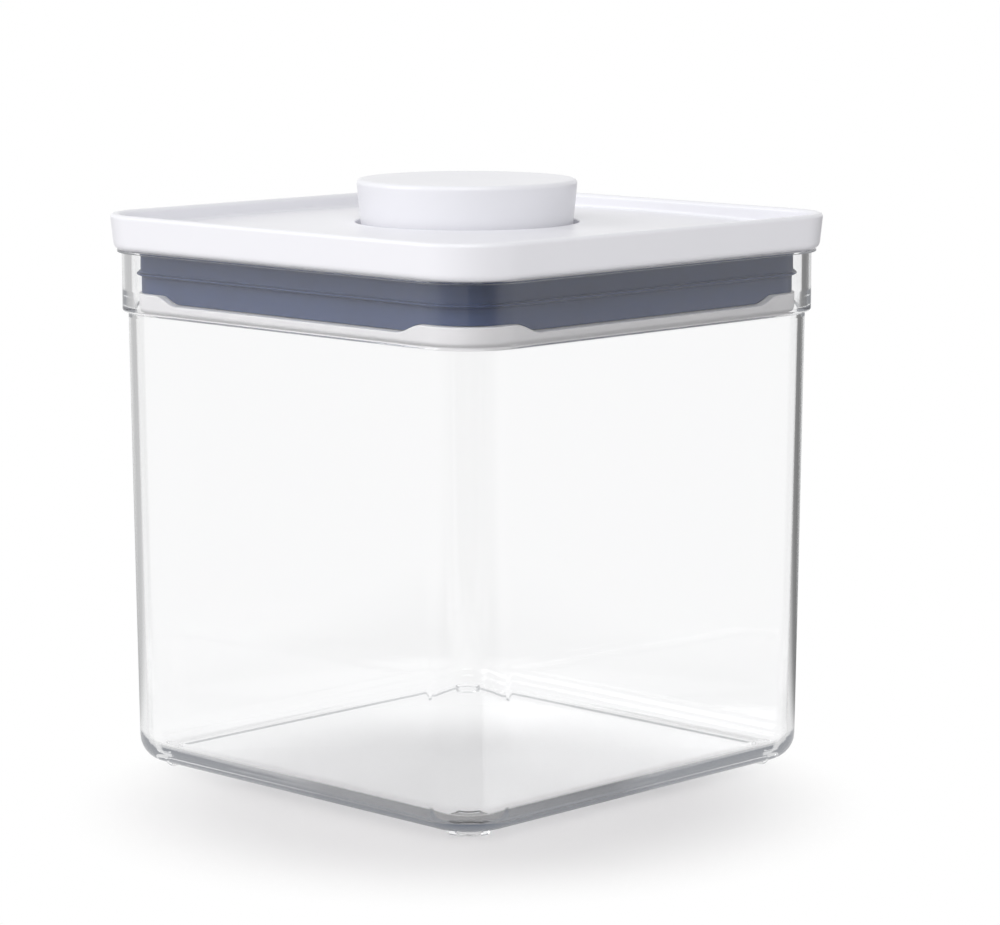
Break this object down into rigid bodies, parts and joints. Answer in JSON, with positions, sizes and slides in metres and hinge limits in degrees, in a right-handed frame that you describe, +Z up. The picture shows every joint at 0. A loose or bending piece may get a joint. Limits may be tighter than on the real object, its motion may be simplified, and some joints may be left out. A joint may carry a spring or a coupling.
{
  "type": "food storage container",
  "caption": "Clear square storage container with a lift-off lid whose push button squeezes a soft gasket out against the wall.",
  "frame": {"origin": "centre of the footprint, on the plane that the corner feet stand on", "axes": "+Z up, X and Y square to the container's sides, with the levers along X and Y"},
  "size_m": [0.16, 0.16, 0.1755],
  "materials": {
    "clear_body": "clear polished",
    "white_cover": "gloss",
    "white_inner": "satin",
    "mechanism": "natural moulded",
    "steel": "plain drawn",
    "silicone": "soft satin"
  },
  "bodies": {
    "container": {"container_body": "clear_body"},
    "lid": {"lid_cover": "white_cover", "inner_housing": "white_inner", "mechanism_chassis": "mechanism", "barrel_retainer": "steel", "return_spring": "steel", "gasket": "silicone", "lever_pin_1": "steel", "lever_pin_2": "steel", "lever_pin_3": "steel", "lever_pin_4": "steel"},
    "button": {"button_cap": "white_cover", "button_core": "mechanism", "index_pins": "steel"},
    "barrel": {"index_barrel": "mechanism"},
    "frame": {"gasket_frame": "white_inner", "bottom_cover": "white_inner"},
    "lever_1": {"rocker_lever_1": "mechanism"},
    "lever_2": {"rocker_lever_2": "mechanism"},
    "lever_3": {"rocker_lever_3": "mechanism"},
    "lever_4": {"rocker_lever_4": "mechanism"}
  },
  "joints": [
    {"name": "lid_lift", "type": "slide", "parent": "container", "child": "lid", "axis": [0, 0, 1], "range_m": [0, 0.2]},
    {"name": "button_press", "type": "slide", "parent": "lid", "child": "button", "axis": [0, 0, -1], "range_m": [0, 0.011], "stiffness_N_per_m": 400, "springref_m": -0.01, "deforming": ["return_spring"]},
    {"name": "frame_lift", "type": "slide", "parent": "lid", "child": "frame", "axis": [0, 0, 1], "range_m": [0, 0.003], "deforming": ["gasket"]},
    {"name": "barrel_turn", "type": "hinge", "parent": "lid", "child": "barrel", "pos_m": [0, 0, 0.15], "axis": [0, 0, 1], "range_deg": [0, 36]},
    {"name": "lever_1_rock", "type": "hinge", "parent": "lid", "child": "lever_1", "pos_m": [0.05104, 0, 0.1488], "axis": [0, -1, 0], "range_deg": [0, 19.28]},
    {"name": "lever_2_rock", "type": "hinge", "parent": "lid", "child": "lever_2", "pos_m": [0, 0.05104, 0.1488], "axis": [1, 0, 0], "range_deg": [0, 19.28]},
    {"name": "lever_3_rock", "type": "hinge", "parent": "lid", "child": "lever_3", "pos_m": [-0.05104, 0, 0.1488], "axis": [0, 1, 0], "range_deg": [0, 19.28]},
    {"name": "lever_4_rock", "type": "hinge", "parent": "lid", "child": "lever_4", "pos_m": [0, -0.05104, 0.1488], "axis": [-1, 0, 0], "range_deg": [0, 19.28]}
  ],
  "couplings": [
    {"joint": "frame_lift", "follows": "button_press", "ratio": 0.27273},
    {"joint": "barrel_turn", "follows": "button_press", "rad_per_m": 57.12},
    {"joint": "lever_1_rock", "follows": "button_press", "rad_per_m": 30.592},
    {"joint": "lever_2_rock", "follows": "button_press", "rad_per_m": 30.592},
    {"joint": "lever_3_rock", "follows": "button_press", "rad_per_m": 30.592},
    {"joint": "lever_4_rock", "follows": "button_press", "rad_per_m": 30.592}
  ]
}
